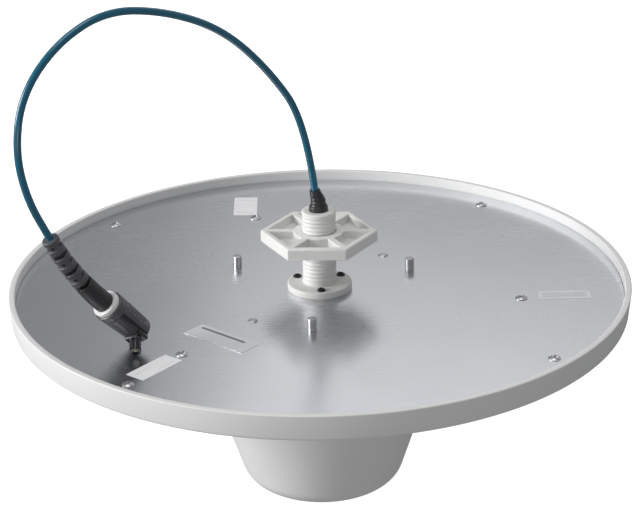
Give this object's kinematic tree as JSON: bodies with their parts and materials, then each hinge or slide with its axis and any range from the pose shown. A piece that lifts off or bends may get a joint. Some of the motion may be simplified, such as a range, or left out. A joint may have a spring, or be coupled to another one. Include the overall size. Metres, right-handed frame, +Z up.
{
  "type": "omnidirectional ceiling antenna",
  "caption": "Wide shallow disc with a dome below, a threaded stud with a hexagonal hand nut above, and a coaxial pigtail that arches over to a right-angle plug.",
  "frame": {"origin": "on the stud's axis, in the plane of the rim's top face, which meets the ceiling", "axes": "+Z up along the stud, away from the dome; -Y is the side that the disc is seen from; the pigtail arches over towards -X -Y"},
  "size_m": [0.3, 0.3, 0.2671],
  "materials": {
    "radome_white": "fine satin moulding",
    "stud_white": "satin moulded nylon",
    "plate_aluminium": "fine brushed, clear",
    "spun_aluminium": "spun",
    "bright_steel": "zinc plated",
    "dark_steel": "black oxide",
    "boot_black": "satin",
    "plug_black": "semi-gloss",
    "ring_white": "semi-gloss",
    "cable_blue": "smooth extruded jacket",
    "brass": "turned",
    "gold_contact": "plated",
    "natural_ptfe": "smooth",
    "cradle_grey": "moulded",
    "label_white": "matt film",
    "label_clear": "thin film"
  },
  "bodies": {
    "antenna": {"radome": "radome_white", "ground_plate": "plate_aluminium", "rim_screws": "bright_steel", "inner_screws": "bright_steel", "locating_studs": "bright_steel", "mounting_stud": "stud_white", "flange_screws": "dark_steel", "backing_plate": "bright_steel", "post_boot": "boot_black", "pigtail_cable": "cable_blue", "cable_tail": "cable_blue", "connector_boot": "boot_black", "connector_ring": "ring_white", "connector_body": "plug_black", "connector_barrel": "plug_black", "contact_insulator": "natural_ptfe", "centre_contact": "gold_contact", "feed_ferrule": "brass", "feed_bead": "natural_ptfe", "feed_pin": "brass", "feed_nut": "brass", "radiator_cone": "spun_aluminium", "radiator_cap": "spun_aluminium", "radiator_cradle": "cradle_grey", "cradle_rivets": "bright_steel", "cap_screws": "bright_steel", "approval_label": "label_white", "serial_label": "label_white", "rating_label": "label_clear", "port_label": "label_clear"},
    "washer": {"nut_washer": "stud_white"},
    "nut": {"clamp_nut": "stud_white"},
    "sleeve": {"coupling_sleeve": "plug_black"}
  },
  "joints": [
    {"name": "nut_travel", "type": "slide", "parent": "antenna", "child": "washer", "axis": [0, 0, 1], "range_m": [-0.0165, 0.009]},
    {"name": "nut_turn", "type": "hinge", "parent": "washer", "child": "nut", "pos_m": [0, 0, 0.0219], "axis": [0, 0, 1], "range_deg": [-2975, 1625]},
    {"name": "sleeve_turn", "type": "hinge", "parent": "antenna", "child": "sleeve", "pos_m": [-0.08447, -0.07372, -0.00068], "axis": [0.0504, -0.8852, -0.4625], "continuous": true}
  ],
  "couplings": [
    {"joint": "nut_turn", "follows": "nut_travel", "rad_per_m": 3141.6}
  ]
}
